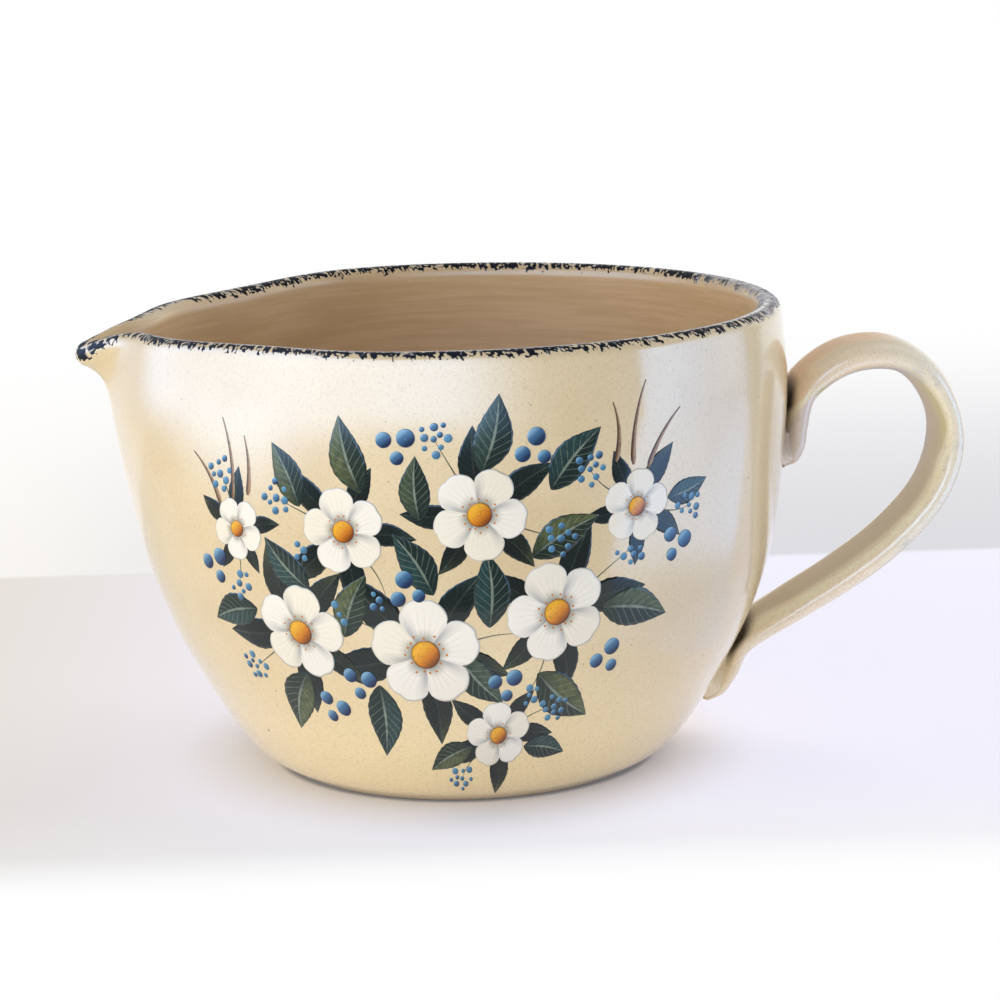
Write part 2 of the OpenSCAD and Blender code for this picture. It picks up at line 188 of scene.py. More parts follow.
def new_piece(name, verts, faces):
    """An object from points and faces."""
    mesh = bpy.data.meshes.new(name)
    mesh.from_pydata([tuple(p) for p in verts], [], faces)
    piece = bpy.data.objects.new(name, mesh)
    bpy.context.scene.collection.objects.link(piece)
    return piece


def clay(name, verts, faces):
    """A closed piece, with every face turned outwards and shaded smooth."""
    piece = new_piece(name, verts, faces)
    shell = bmesh.new()
    shell.from_mesh(piece.data)
    bmesh.ops.recalc_face_normals(shell, faces=shell.faces)
    shell.to_mesh(piece.data)
    shell.free()
    piece.data.shade_smooth()
    return piece


def skin(name, points, first, last):
    """A closed piece from rings of points, with the middle points first and last at its ends."""
    rows, cols = points.shape[:2]
    verts = [*points.reshape(-1, 3), first, last]
    faces = grid(rows, cols)
    for middle, base in ((rows * cols, 0), (rows * cols + 1, (rows - 1) * cols)):
        faces += [(base + j, base + (j + 1) % cols, middle) for j in range(cols)]
    return clay(name, verts, faces)


def mark(piece, name, values):
    """Keeps one number per point on the mesh, for the materials to read."""
    layer = piece.data.attributes.new(name, "FLOAT", "POINT")
    layer.data.foreach_set("value", np.asarray(values, np.float32).ravel())


outside_ripple = 0.10 * mm
inside_ripple = 0.34 * mm
half_columns = 180
crowding = 1.3
foot_shares = (0.2, 0.45, 0.7, 0.86, 0.94, 0.985)
outside_n = 78
lip_n = 20
inside_n = 62
floor_n = 34
steps = np.arange(-half_columns, half_columns)
turns = 180 - np.sign(steps) * 180 * (np.abs(steps) / half_columns) ** crowding
spouts = from_spout(turns)
lips = lip_z(spouts)
bowl_rows = [upright(foot_r * share, 0, turns) for share in foot_shares]
for i in range(outside_n):
    u = i / outside_n
    bowl_rows.append(wall_point(turns, lips * (u - 0.11 * math.sin(2 * math.pi * u)), 0))
for i in range(lip_n + 1):
    bowl_rows.append(lip_point(turns, 180 * i / lip_n, 0))
inside_low = floor_t + 0.33 * wall_t
for i in range(1, inside_n + 1):
    z = lips - (lips - inside_low) * (i / inside_n) ** 1.25
    nr, nz = wall_normal(spouts, z)
    off = -wall_t + ripple(turns + 40, z, inside_ripple)
    bowl_rows.append(upright(wall_r(spouts, z) + off * nr, z + off * nz, turns))
corner = bowl_rows[-1]
corner_r = np.hypot(corner[:, 0], corner[:, 1])
nr, nz = wall_normal(spouts, inside_low)
flat_r = 23 * mm
corner_pull = 9 * mm
floor_pull = 14 * mm
for i in range(1, floor_n + 1):
    s = i / floor_n
    b = [(1 - s) ** 3, 3 * s * (1 - s) ** 2, 3 * s * s * (1 - s), s ** 3]
    r = b[0] * corner_r + b[1] * (corner_r + corner_pull * nz) + b[2] * (flat_r + floor_pull) + b[3] * flat_r
    z = b[0] * corner[:, 2] + b[1] * (corner[:, 2] - corner_pull * nr) + (b[2] + b[3]) * floor_t
    bowl_rows.append(upright(r, z, turns))
for tenths in range(9, 0, -1):
    bowl_rows.append(upright(flat_r * tenths / 10, floor_t, turns))
bowl_rows = np.array(bowl_rows)

# The potter's finger leaves a shallow spiral on the floor inside.
spiral_h = 0.16 * mm
spiral_pitch = 1.5 * mm
spiral_r = 44 * mm
spiral_edge = 12 * mm
spiral_eye = 6 * mm
away = np.hypot(bowl_rows[..., 0], bowl_rows[..., 1])
on_floor = ease((spiral_r - away) / spiral_edge) * (bowl_rows[..., 2] > floor_t / 2)
spiral = ease(away / spiral_eye) * np.cos(away / spiral_pitch + np.radians(turns))
bowl_rows[..., 2] += spiral_h * on_floor * spiral
bowl = skin("glazed_bowl", bowl_rows, first=(0, 0, 0), last=(0, 0, floor_t + 0.1 * mm))
crest_row = 9
blend_rows = 12
row = np.repeat(np.arange(len(bowl_rows)), len(turns))
inside_from = len(foot_shares) + outside_n + crest_row
mark(bowl, "dry", np.append(row < len(foot_shares), [1, 0]))
mark(bowl, "inside", np.append(np.clip((row - inside_from) / blend_rows, 0, 1), [0, 1]))


def paint(red, green, blue):
    """A colour as a paint chart gives it, from 0 to 255, in the shader's own linear scale."""
    def linear(c):
        return c / 12.92 if c <= 0.04045 else ((c + 0.055) / 1.055) ** 2.4
    return tuple(linear(v / 255) for v in (red, green, blue)) + (1,)


class Glazing:
    """A set of shader nodes under work, joined by their sockets' names."""

    def __init__(self, tree):
        self.tree = tree

    def node(self, kind, sockets=None, **settings):
        made = self.tree.nodes.new("ShaderNode" + kind)
        for key, value in settings.items():
            setattr(made, key, value)
        for key, value in (sockets or {}).items():
            self.feed(made.inputs[key], value)
        return made

    def feed(self, socket, value):
        if isinstance(value, bpy.types.NodeSocket):
            self.tree.links.new(value, socket)
        else:
            socket.default_value = value

    def math(self, how, *values):
        return self.node("Math", dict(enumerate(values)), operation=how).outputs[0]

    def times(self, *values):
        return self.math("MULTIPLY", *values)

    def weigh(self, one, share, other, other_share):
        """one times share, plus other times other_share."""
        return self.math("ADD", self.times(one, share), self.times(other, other_share))

    def fade(self, value, start, end, low=0.0, high=1.0):
        """Smooth step of value from start, where it is low, to end, where it is high."""
        sockets = dict(enumerate((value, start, end, low, high)))
        return self.node("MapRange", sockets, interpolation_type="SMOOTHSTEP").outputs[0]

    def blend(self, share, under, over):
        return self.node("Mix", {0: share, 6: under, 7: over}, data_type="RGBA").outputs[2]

    def parts(self, vector):
        return self.node("SeparateXYZ", {"Vector": vector}).outputs

    def length(self, vector):
        return self.node("VectorMath", {0: vector}, operation="LENGTH").outputs["Value"]


def effect_group(name, gives, **takes):
    """An empty node group that takes the place and some numbers and gives one number."""
    group = bpy.data.node_groups.new(name, "ShaderNodeTree")
    group.interface.new_socket("Place", in_out="INPUT", socket_type="NodeSocketVector")
    for label, value in takes.items():
        socket = group.interface.new_socket(label, in_out="INPUT", socket_type="NodeSocketFloat")
        socket.default_value = value
    group.interface.new_socket(gives, in_out="OUTPUT", socket_type="NodeSocketFloat")
    given, out = (group.nodes.new(kind) for kind in ("NodeGroupInput", "NodeGroupOutput"))
    return group, Glazing(group), given.outputs, out.inputs[gives]


# The clay's iron comes through the glaze as small round specks, no two alike.
iron_specks, work, given, out = effect_group("iron specks", "Mask", Spacing=4 * mm, Size=0.1, Share=0.5)
scale = work.math("DIVIDE", 1.0, given["Spacing"])
cells = work.node("TexVoronoi", {"Vector": given["Place"], "Scale": scale})
chance = work.node("SeparateColor", {"Color": cells.outputs["Color"]}).outputs
speck_r = work.times(given["Size"], work.math("ADD", 0.45, chance["Green"]))
speck = work.fade(cells.outputs["Distance"], speck_r, work.times(speck_r, 0.35))
work.feed(out, work.times(speck, work.math("LESS_THAN", chance["Red"], given["Share"])))

# A fired glaze is never quite even: soft waves a few millimetres long over a very fine orange peel.
glaze_waves, work, given, out = effect_group("glaze waves", "Height", Wave=9 * mm, Peel=1.4 * mm, Share=0.2)
wave, peel = (
    work.node("TexNoise", {"Vector": given["Place"], "Scale": scale, "Detail": 1.0}).outputs["Fac"]
    for scale in [work.math("DIVIDE", 1.0, given[size]) for size in ("Wave", "Peel")])
work.feed(out, work.math("ADD", wave, work.times(peel, given["Share"])))


class Finish(Glazing):
    """A new material: its shader, the place on the piece and the colour laid on the ground so far."""

    def __init__(self, name, ground=None, roughness=0.14, coat=0.0):
        self.material = bpy.data.materials.new(name)
        self.material.use_nodes = True
        super().__init__(self.material.node_tree)
        self.shader = self.tree.nodes["Principled BSDF"]
        self.set("Roughness", roughness)
        self.set("IOR", 1.5)
        self.set("Coat Weight", coat)
        self.set("Coat Roughness", 0.1)
        self.place = self.node("TexCoord").outputs["Object"]
        self.colour = ground

    def set(self, name, value):
        self.feed(self.shader.inputs[name], value)

    def marked(self, name):
        return self.node("Attribute", attribute_name=name).outputs["Fac"]

    def noise(self, size, detail=2.0, rough=0.5, where=None):
        at = self.place if where is None else where
        sockets = {"Vector": at, "Scale": 1 / size, "Detail": detail, "Roughness": rough}
        return self.node("TexNoise", sockets).outputs["Fac"]

    def effect(self, group, **values):
        return self.node("Group", {"Place": self.place, **values}, node_tree=group).outputs[0]

    def specks(self, spacing, size, share, strength):
        return self.times(self.effect(iron_specks, Spacing=spacing, Size=size, Share=share), strength)

    def lay(self, share, over):
        """Lays a colour over what is there."""
        self.colour = self.blend(share, self.colour, over)

    def fire(self, depth=0.03 * mm, **waves):
        """Feeds the colour and the glaze's waves, depth deep, into the shader."""
        self.set("Base Color", self.colour)
        bump = self.node("Bump", {"Distance": depth, "Height": self.effect(glaze_waves, **waves)})
        self.set("Normal", bump.outputs["Normal"])

    def show(self, share, under, over):
        """Sends a mix of two shaders to the material's output."""
        mixed = self.node("MixShader", {0: share, 1: under.outputs[0], 2: over.outputs[0]})
        self.feed(self.tree.nodes["Material Output"].inputs["Surface"], mixed.outputs[0])


cream = paint(232, 215, 180)
cream_deep = paint(223, 203, 164)
cream_light = paint(240, 226, 194)
cream_low_tone_and_light = paint(255, 233, 180)
cream_inside_shade = paint(218, 190, 150)
cream_inside_shade_deep = paint(207, 177, 135)
cream_grain = paint(196, 174, 136)
speck_brown = paint(118, 98, 80)
bare_clay = paint(190, 160, 122)
low_tone_top = 60 * mm
low_tone_foot = 4 * mm
work = Finish("cream glaze", cream, 0.2, coat=1.0)
mottle = work.noise(46 * mm, detail=3)
work.lay(work.fade(mottle, 0.38, 0.66), cream_deep)
# Towards the foot the glaze turns warmer and lighter: partly a tone of the glaze, partly painted light where
# the lamps leave the low wall dim.
work.lay(work.fade(work.parts(work.place)["Z"], low_tone_top, low_tone_foot, 0, 0.9), cream_low_tone_and_light)
grain = work.noise(0.7 * mm, detail=3, rough=0.75)
work.lay(work.fade(grain, 0.46, 0.8, 0, 0.6), cream_grain)
work.lay(work.specks(3.1 * mm, 0.085, 0.5, strength=0.5), speck_brown)
work.lay(work.specks(9.5 * mm, 0.05, 0.45, strength=0.75), speck_brown)
level = work.node("VectorMath", {0: work.place, 1: (0.06, 0.06, 1)}, operation="MULTIPLY").outputs[0]
streaks = work.noise(1.7 * mm, detail=3, rough=0.6, where=level)
# Painted shade: the inside is laid in a darker tan that stands in for the shade inside the bowl, streaked
# along the throwing lines.
inside = work.marked("inside")
work.lay(inside, work.blend(work.fade(streaks, 0.36, 0.64), cream_inside_shade, cream_inside_shade_deep))
dry_foot = work.marked("dry")
work.lay(dry_foot, bare_clay)
gloss = work.math("MAXIMUM", work.fade(mottle, 0.3, 0.7, 0.17, 0.25), work.times(inside, 0.5))
work.set("Roughness", work.math("MAXIMUM", gloss, work.times(dry_foot, 0.85)))
work.set("Coat Weight", work.fade(inside, 0.0, 1.0, 1.0, 0.15))
work.fire(0.04 * mm)
bowl.data.materials.append(work.material)
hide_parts("bowl_body")
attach(bowl, "root")


# Handle
# A strap pulled from one lump of clay, thickest on top of the arch. Both ends are pressed on the wall
# while the clay is leather-hard, and it is dipped with the bowl, so the glaze runs on over it.
handle_reach = 45.4 * mm
arch_z = bowl_h - 17.4 * mm
upper_joint_z = bowl_h - 46.4 * mm
lower_joint_z = 12.6 * mm
strap_w = 26 * mm
arch_t = 8.8 * mm
run_t = 7.8 * mm
tab_t = arch_t * 0.68
slip_t = 0.4 * mm
oval_power = 2.4
upper_shares = [(0, 0.26, 0.62), (0.35, 0.72, 0.92), (1, 1, 1), (1.8, 1.05, 1)]
arch_shares = [
    (0.103, 0.886, 0.80), (0.205, 0.942, 0.88), (0.361, 0.985, 0.96), (0.545, 1, 1),
    (0.725, 0.981, 0.96), (0.886, 0.910, 0.90), (0.985, 0.800, 0.84),
]
run_shares = [
    (0.980, 0.683, 1), (0.870, 0.561, 1), (0.636, 0.439, 1), (0.350, 0.338, 0.98), (0.059, 0.254, 0.92),
]
lower_shares = [(1.9, 0.8, 1.02), (1, 0.74, 1.02), (0.35, 0.64, 0.98), (0, 0.36, 0.8)]


def pressed(z, thick, wide):
    """Where the strap lies on the wall: radius, height, width and thickness of its middle."""
    e = wall_t / 100
    slant = math.hypot(1, (thrown_r(z) - thrown_r(z - e)) / e)
    return [float(thrown_r(z)) + (slip_t + thick / 2) * slant, z, wide, thick]


def free(share, thick):
    """Where the strap stands free of the wall."""
    z = lower_joint_z + share[1] * (arch_z - lower_joint_z)
    return [float(thrown_r(arch_z)) + share[0] * handle_reach, z, strap_w, share[2] * thick]


stations = np.array(
    [pressed(upper_joint_z + a * tab_t, b * tab_t, c * strap_w) for a, b, c in upper_shares]
    + [free(s, arch_t) for s in arch_shares]
    + [free(s, run_t) for s in run_shares]
    + [pressed(lower_joint_z + a * run_t, b * run_t, c * strap_w) for a, b, c in lower_shares]
)
station_last = len(stations) - 1
upper_last = len(upper_shares) - 1
lower_first = station_last - len(lower_shares) + 1


def strap_at(s):
    """The strap's middle, width and thickness at the station s, smooth between stations."""
    i = min(max(int(s), 0), station_last - 1)
    t = s - i
    p1, p2 = stations[i], stations[i + 1]
    p0 = stations[i - 1] if i else 2 * p1 - p2
    p3 = stations[i + 2] if i < station_last - 1 else 2 * p2 - p1
    return 0.5 * (
        2 * p1 + (p2 - p0) * t + (2 * p0 - 5 * p1 + 4 * p2 - p3) * t * t
        + (3 * p1 - p0 - 3 * p2 + p3) * t ** 3
    )


def strap_side(s):
    """Direction through the strap's thickness, away from the loop's middle line."""
    a, b = strap_at(max(s - 0.01, 0)), strap_at(min(s + 0.01, station_last))
    d = (b - a)[:2] / np.linalg.norm((b - a)[:2])
    return np.array([d[1], -d[0]])


def strap_ring(s, thin=1.0, narrow=1.0, shift=(0.0, 0.0)):
    """One cross-section of the strap: a rounded flat oval, across and then through."""
    p, n = strap_at(s), strap_side(s)
    deep = p[3] / 2 * thin * through
    wide = p[2] / 2 * narrow * across
    return np.stack([p[0] + shift[0] + deep * n[0], wide, p[1] + shift[1] + deep * n[1]], axis=-1)


def strap_cap(s, way):
    """The strap's rounded end at the station s. way is 1 at the upper end and -1 at the lower one."""
    p, n = strap_at(s), strap_side(s)
    cap = []
    for i in range(end_rings, 0, -1):
        k = i / end_rings
        thin = math.sqrt(max(1 - k * k, 0.0004))
        shift = way * (np.array([n[1], -n[0]]) * end_reach * k - n * p[3] / 2 * (1 - thin))
        cap.append(strap_ring(s, thin, 1 - end_taper * k * k, shift))
    return cap


strap_sides = 72
end_rings = 7
ring_steps = 14
end_reach = 1.5 * mm
end_taper = 0.22
around = np.radians(360 * (np.arange(strap_sides) + 0.5) / strap_sides)
across, through = (np.sign(c) * np.abs(c) ** (2 / oval_power) for c in (np.cos(around), np.sin(around)))
run = [strap_ring(i / ring_steps) for i in range(station_last * ring_steps + 1)]
rings = np.array(strap_cap(0.0, 1) + run + strap_cap(float(station_last), -1)[::-1])
handle = skin("strap_handle", rings, first=rings[0].mean(axis=0), last=rings[-1].mean(axis=0))

# Painted light and shade on the strap: a highlight along its ridge, shade on its inner face but light on it
# by the upper joint, brown shade on the arch, and dark shade in the crack at each joint.
# Each shade comes from the station along the strap and the place across and through it, from -1 to 1.
station = (np.arange(len(rings))[:, None] - end_rings) / ring_steps
ridge_stations = (2.5, 3.5, 4, 4.5, 5.5, 9, 10, 11, 15, 15.5)
ridge_at = np.interp(station, ridge_stations, (-1.3, -0.7, -0.1, 0.05, 0.42, 0.42, 0.36, 0.66, 0.66, 0.74))
arch = ease((station - 4.6) / 0.6) * ease((9 - station) / 1.2)
x, y, z = np.moveaxis(rings, -1, 0)
high = ease((z - 60 * mm) / (24 * mm))
from_wall = np.hypot(x, y) - thrown_r(np.clip(z, 0, bowl_h))
ridge_highlight = np.exp(-((through - ridge_at) / 0.13) ** 2) * (1 - arch) * ease((station - 2.9) / 0.8)
outer = ease((ridge_at - through) / 0.3)
near_upper = ease((station - 2.6) / 0.5) * outer * (station < 7)
near_lower = ease((station - 14.4) / 0.6) * ease((17 - station) / 0.8) * ease((through - 0.3) / 0.4)
upper_gap = 4.4 * mm - 0.8 * mm * ease((-y - 6 * mm) / (5 * mm))
lower_gap = 5 * mm
arch_shade_line = ease((-through - 0.8) / 0.2) * ease((124 * mm - x) / (12 * mm)) * ease(station - 3)
shades = {
    "ridge_highlight": ridge_highlight,
    "edge": ease((np.abs(across) - 0.6) / 0.3) * (1 - ridge_highlight),
    "inner": ease((through - ridge_at - 0.08) / 0.2) * (1 - ridge_highlight),
    "tab": 1 - ease((station - 4) / 0.8),
    "pale": np.maximum(ease((across + 0.2) / 0.8) * high, arch),
    "olive": ease((-across - 0.35) / 0.5) * high,
    "crack_shade": np.maximum(
        near_upper * ease((upper_gap - from_wall) / (3 * mm)),
        near_lower * ease((lower_gap - from_wall) / (2.6 * mm))),
    "brown": np.maximum(arch_shade_line, 0.7 * (1 - ease((station - 4) / 1.7)) * outer) * (station < 10),
}
for name, values in shades.items():
    whole = np.broadcast_to(values, rings.shape[:2])
    mark(handle, name, np.append(whole, [name in ("tab", "inner"), 0]))

cream_edge = paint(246, 240, 222)
cream_arch_lit = paint(255, 239, 213)
cream_ridge_highlight = paint(255, 252, 224)
cream_hollow_shade = paint(212, 197, 172)
olive_hollow_shade = paint(214, 206, 158)
pale_hollow_shade = paint(206, 196, 194)
tab_lit = paint(234, 222, 214)
arch_brown_shade = paint(243, 212, 180)
glaze_grey = paint(196, 198, 204)
crack_brown_shade = paint(38, 26, 16)
# Painted light: the handle's glaze is a lighter cream than the bowl's, with lighter mottle, to stand in for
# light that does not reach the strap.
work = Finish("cream glaze on the handle", cream_arch_lit, 0.2, coat=1.0)
handle_glaze = work.material
edge, inner, tab, crack_shade, brown = (work.marked(name) for name in ("edge", "inner", "tab", "crack_shade", "brown"))
mottle = work.noise(31 * mm, detail=3)
work.lay(work.fade(mottle, 0.36, 0.66), cream_light)
far_out = work.fade(work.parts(work.place)["X"], 104 * mm, 126 * mm)
work.lay(edge, work.blend(far_out, cream_arch_lit, cream_edge))
# Painted shade: a brown line along the arch's outer edge and a brown wash on the strap's outer side by the
# upper joint.
work.lay(brown, arch_brown_shade)
# Painted shade: the strap's inner face is laid in darker tan, with an olive tint on one half and a
# lavender-grey tint on the other high up and on the arch.
hollow_shade = work.blend(work.marked("olive"), cream_hollow_shade, olive_hollow_shade)
hollow_shade = work.blend(work.marked("pale"), hollow_shade, pale_hollow_shade)
# Painted light: by the upper joint the inner face takes a pale lavender cream instead, standing in for light
# that the bowl keeps off it.
work.lay(inner, work.blend(tab, hollow_shade, tab_lit))
# Painted highlight: a pale line along the strap's ridge, where its rounded corner would catch the light.
work.lay(work.times(work.marked("ridge_highlight"), work.fade(work.noise(7 * mm), 0.3, 0.6, 0.6, 1.0)), cream_ridge_highlight)
# Painted shade: the narrow crack between strap and wall at each joint is laid in near-black brown.
work.lay(crack_shade, crack_brown_shade)
cloud = work.fade(work.noise(9 * mm, detail=4, rough=0.6), 0.58, 0.7, 0, 0.6)
work.lay(work.times(work.times(cloud, far_out), edge), glaze_grey)
grain = work.noise(0.7 * mm, detail=3, rough=0.75)
work.lay(work.fade(grain, 0.46, 0.8, 0, 0.5), cream_grain)
work.lay(work.specks(2.8 * mm, 0.09, 0.5, strength=0.55), speck_brown)
dull = work.times(inner, work.math("SUBTRACT", 1.0, tab))
dull = work.math("MAXIMUM", work.math("MAXIMUM", dull, crack_shade), brown)
work.set("Roughness", work.fade(dull, 0.0, 1.0, 0.2, 0.55))
work.set("Coat Weight", work.math("SUBTRACT", 1.0, dull))
work.fire(0.05 * mm, Wave=7 * mm)
handle.data.materials.append(handle_glaze)
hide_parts("handle")
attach(handle, "root")


# Slip joints
# Wet clay slip is laid on the scored wall before each end of the strap is pressed home. It squeezes out
# all round into a small fillet, which is wiped with a damp brush and glazed over with the rest.
bead = 0.12 * mm
slip_sink = 0.15 * mm
slip_steps = 30
slip_cols = 17


def slip_ring(start, end, side, along):
    """A closed section of slip: along the wall, then back behind the strap. It narrows on its way."""
    wide = 0.995 - 0.3 * float(ease((along - 0.35) / 0.65))
    wall_row = []
    strap_row = []
    for v in np.linspace(-1, 1, slip_cols):
        s = start + (end - start) * along * (1 - 0.12 * abs(v) ** 3)
        p = strap_at(s)
        n = strap_side(s) * side
        y = v * p[2] / 2 * wide
        deep = 0.9 * p[3] / 2 * (1 - abs(v * wide) ** oval_power) ** (1 / oval_power)
        strap_row.append((p[0] + n[0] * deep, y, p[1] + n[1] * deep))
        z = p[1] + n[1] * p[3] / 2
        r = float(thrown_r(z))
        y += v * bead
        wall_row.append((math.sqrt(max(r * r - y * y, 0)) - slip_sink, y, z))
    wall_row, strap_row = np.array(wall_row), np.array(strap_row)
    sides = np.linspace(0, 1, 7)[1:-1, None]
    return np.concatenate([
        wall_row, wall_row[-1] * (1 - sides) + strap_row[-1] * sides,
        strap_row[::-1], strap_row[0] * (1 - sides) + wall_row[0] * sides])


for name, node, side, start, end in (
    ("upper_slip", "upper_slip_joint", -1, 0.0, float(upper_last)),
    ("lower_slip", "lower_slip_joint", 1, float(station_last), float(lower_first)),
):
    rows = np.array([slip_ring(start, end, side, i / slip_steps) for i in range(slip_steps + 1)])
    slip = skin(name, rows, first=rows[0].mean(axis=0), last=rows[-1].mean(axis=0))
    # The upper slip takes the tab's painted light colour; both slips take the edge colour.
    for key in ("edge", "tab", "inner"):
        mark(slip, key, np.full(len(slip.data.vertices), key == "edge" or side < 0))
    slip.data.materials.append(handle_glaze)
    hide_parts(node)
    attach(slip, "root")


# Sponged rim
# Blue-black colour, dabbed on the lip with a stiff sponge after glazing, so it is a row of ragged dabs:
# solid on the shoulders, rubbed thin on the crest, with bristle marks at both edges.
dab_step = 0.25 * mm
roll_from = 20
roll_to = 158
rim_length = 2 * math.pi * (rim_r + spout_pull * 0.12)
rim_seed = 20
noise_rows = 64
dab_cols = int(rim_length / dab_step)
dab_rows = 32
rng = np.random.default_rng(rim_seed)


def worn_noise(x, y, wide, high):
    """Smooth random values on a grid of cells, wide along the rim and high across it."""
    n = max(int(round(rim_length / wide)), 1)
    table = rng.random((n, noise_rows))
    u, v = x / rim_length * n, y / high + 7
    i, j = np.floor(u).astype(int), np.floor(v).astype(int)
    a, b = ease(u - i), ease(v - j)
    lower, upper = (
        table[i % n, k % noise_rows] * (1 - a) + table[(i + 1) % n, k % noise_rows] * a for k in (j, j + 1))
    return lower * (1 - b) + upper * b


dab_ends = np.cumsum(rng.uniform(2.4, 6.6, 300)) * mm
dab_starts = np.append(0, dab_ends[dab_ends < rim_length - 3 * mm])
dab_wide = np.diff(np.append(dab_starts, rim_length))
dab_n = len(dab_starts)
dab_gap = np.where(rng.random(dab_n) < 0.66, -1.0, rng.uniform(0.1, 0.9, dab_n)) * mm
dab_out = rng.uniform(3.4, 4.3, dab_n) * mm
dab_in = rng.uniform(2.8, 3.8, dab_n) * mm
dab_heavy = rng.random(dab_n)

rim_turns = 180 + 360 * np.arange(dab_cols) / dab_cols
rolls = np.linspace(roll_from, roll_to, dab_rows + 1)
along, out_of = np.meshgrid(rim_length * np.arange(dab_cols) / dab_cols, np.radians(90 - rolls) * lip_r)
turn_grid, roll_grid = np.meshgrid(rim_turns, rolls)
slanted = (along - 0.35 * out_of) % rim_length
dab = np.searchsorted(dab_starts, slanted, side="right") - 1
share = np.clip((slanted - dab_starts[dab]) / dab_wide[dab], 0, 1)
bristle = worn_noise(slanted, out_of, 0.45 * mm, 2.2 * mm)
streak = worn_noise(slanted, out_of, 0.5 * mm, 0.8 * mm)
blot = worn_noise(along, out_of, 1.4 * mm, 1.1 * mm)
far_flank = ease((178 - (turn_grid % 360)) / 2) * ease(((turn_grid % 360) - 146) / 8)
side_edge = np.minimum(share, 1 - share) * dab_wide[dab] - dab_gap[dab] / 2 + 0.7 * mm * (bristle - 0.5)
inward = dab_in[dab] * (1 - 0.75 * far_flank)
deep = np.where(out_of > 0, dab_out[dab], inward) * (0.82 + 0.18 * np.sqrt(np.sin(np.pi * share)))
deep += 2.1 * mm * (bristle - 0.5)
cover = np.minimum(np.minimum(side_edge / (0.35 * mm), (deep - np.abs(out_of)) / (0.5 * mm)), 1)
rubbed = np.maximum(np.abs(out_of) - 0.9 * mm, 0) / (2.4 * mm)
# Painted highlight: on the rim's near side a pale line runs along the crest, where ink is taken away and the
# same pale grey as the wear is laid.
near_side = ease(-3 * np.sin(np.radians(turn_grid)))
near_crest_highlight = near_side * np.exp(-((out_of - 0.15 * mm) / (0.7 * mm)) ** 2)
cover -= 1.5 * near_crest_highlight * (0.15 + blot)
cover -= 1.9 * np.maximum(0.27 + 0.15 * rubbed - streak, 0) / 0.3 + 1.2 * np.maximum(0.30 - blot, 0) / 0.30
coat = np.clip(cover, 0, 1)
kept = cover > 0.08
whole = kept & np.roll(kept, -1, axis=1)
whole = whole[:-1] & whole[1:]
used, quads = np.unique(np.array(grid(dab_rows + 1, dab_cols))[whole.ravel()], return_inverse=True)
quads = [tuple(quad) for quad in quads.reshape(-1, 4)]
top, under = (
    lip_point(turn_grid, roll_grid, lift * mm).reshape(-1, 3)[used] for lift in (0.025 + 0.03 * coat, -0.04))


def closed_coat(quads, under):
    """Faces of a thin coat: its quads, the same ones on points under further on, and the edge."""
    turned = [tuple(v + under for v in reversed(quad)) for quad in quads]
    edges = [edge for quad in quads for edge in zip(quad, quad[1:] + quad[:1])]
    there = set(edges)
    return [*quads, *turned, *((a, a + under, b + under, b) for a, b in edges if (b, a) not in there)]


sponged = clay("sponged_rim", np.concatenate([top, under]), closed_coat(quads, len(top)))
worn_end = ease((45 - from_spout(turn_grid + 185)) / 28)
crest = np.exp(-((out_of + 0.2 * mm) / (0.5 * mm)) ** 2) * (0.35 + 0.6 * blot)
thin = 1.0 - coat * (0.9 + 0.4 * dab_heavy[dab]) * (0.6 + streak) + crest
thin += 0.5 * near_crest_highlight + worn_end * (0.15 + 1.3 * streak)
mark(sponged, "thin", np.tile(np.clip(thin, 0, 1).ravel()[used], 2))

rim_ink = paint(8, 10, 16)
rim_worn_and_highlight = paint(204, 205, 213)
work = Finish("sponged blue-black", rim_ink, 0.45)
work.set("Specular IOR Level", 0.2)
patchy = work.noise(2.2 * mm, detail=3, rough=0.6)
worn = work.times(work.marked("thin"), work.fade(patchy, 0.25, 0.75, 0.6, 1.1))
work.lay(work.fade(worn, 0.1, 1.0), rim_worn_and_highlight)
work.fire(Wave=4 * mm, Share=0.4)
sponged.data.materials.append(work.material)
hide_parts("rim_band")
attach(sponged, "root")


# Printed stems
# The flower print is a transfer: each colour is screened on a film, slid on the fired glaze and fused to
# it in a second firing. The stems are the first colour, a brown.
decal_w = 124 * mm
decal_turn = -98
decal_z = bowl_h - 61 * mm
print_under = -0.03 * mm


def on_wall(flat, lift):
    """Places flat print points, across and up from the print's middle, on the bowl's wall."""
    turn = decal_turn + np.degrees(flat[..., 0] / belly_r)
    return wall_point(turn, decal_z + flat[..., 1], lift)


def spin(x, y, degrees):
    """Turns flat points round the origin."""
    a = math.radians(degrees)
    return np.stack([x * math.cos(a) - y * math.sin(a), x * math.sin(a) + y * math.cos(a)], axis=-1)


class Film:
    """One colour of the print: closed thin patches, with marks that are 0 where none is given."""

    def __init__(self, *marks):
        self.points = []
        self.faces = []
        self.marks = {name: [] for name in marks}

    def patch(self, flat, lift, wrap=False, **marks):
        """Adds a patch from rows of flat points."""
        rows, cols = flat.shape[:2]
        first = sum(map(len, self.points))
        self.points += [on_wall(flat, height).reshape(-1, 3) for height in (lift, print_under)]
        for face in closed_coat(grid(rows, cols, wrap), rows * cols):
            self.faces.append(tuple(first + v for v in face))
        for name, values in self.marks.items():
            values += [np.broadcast_to(marks.get(name, 0.0), (rows, cols)).ravel()] * 2

    def fire(self, name, node, slot, material):
        """Makes the piece that stands for the node."""
        piece = clay(name, np.concatenate(self.points), self.faces)
        for key, values in self.marks.items():
            mark(piece, key, np.concatenate(values))
        piece.data.materials.append(material)
        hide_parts(node)
        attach(piece, "root")


